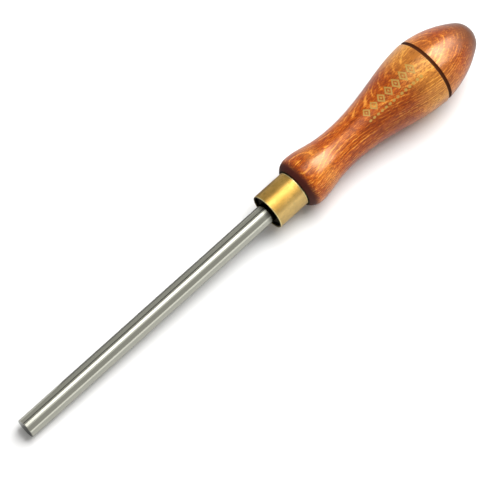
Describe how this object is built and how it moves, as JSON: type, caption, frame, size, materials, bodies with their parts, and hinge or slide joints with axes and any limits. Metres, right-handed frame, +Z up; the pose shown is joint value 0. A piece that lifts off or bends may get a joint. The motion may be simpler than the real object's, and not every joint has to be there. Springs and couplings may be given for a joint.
{
  "type": "burnisher",
  "caption": "Polished round steel rod in a turned wooden handle with a brass ferrule, for burnishing or for forming small rings over it.",
  "frame": {"origin": "on the surface the tool lies on, under the middle of its bounding box", "axes": "+Z up; +X from the rod's free end towards the butt of the handle; the tool's own axis lies in the XZ plane and rises about 2.8 degrees towards +X, because the tool rests on the rod's end and on the bulb of the handle"},
  "size_m": [0.2301, 0.028, 0.028],
  "materials": {
    "polished_steel": "polished, with a fine grind across the rod",
    "brass": "satin, lightly tarnished",
    "stained_wood": "orange-brown stain under clear gloss lacquer",
    "adhesive": "cured, dull"
  },
  "bodies": {
    "root": {"burnisher_rod": "polished_steel", "ferrule": "brass", "handle": "stained_wood", "cured_adhesive": "adhesive"}
  },
  "joints": []
}
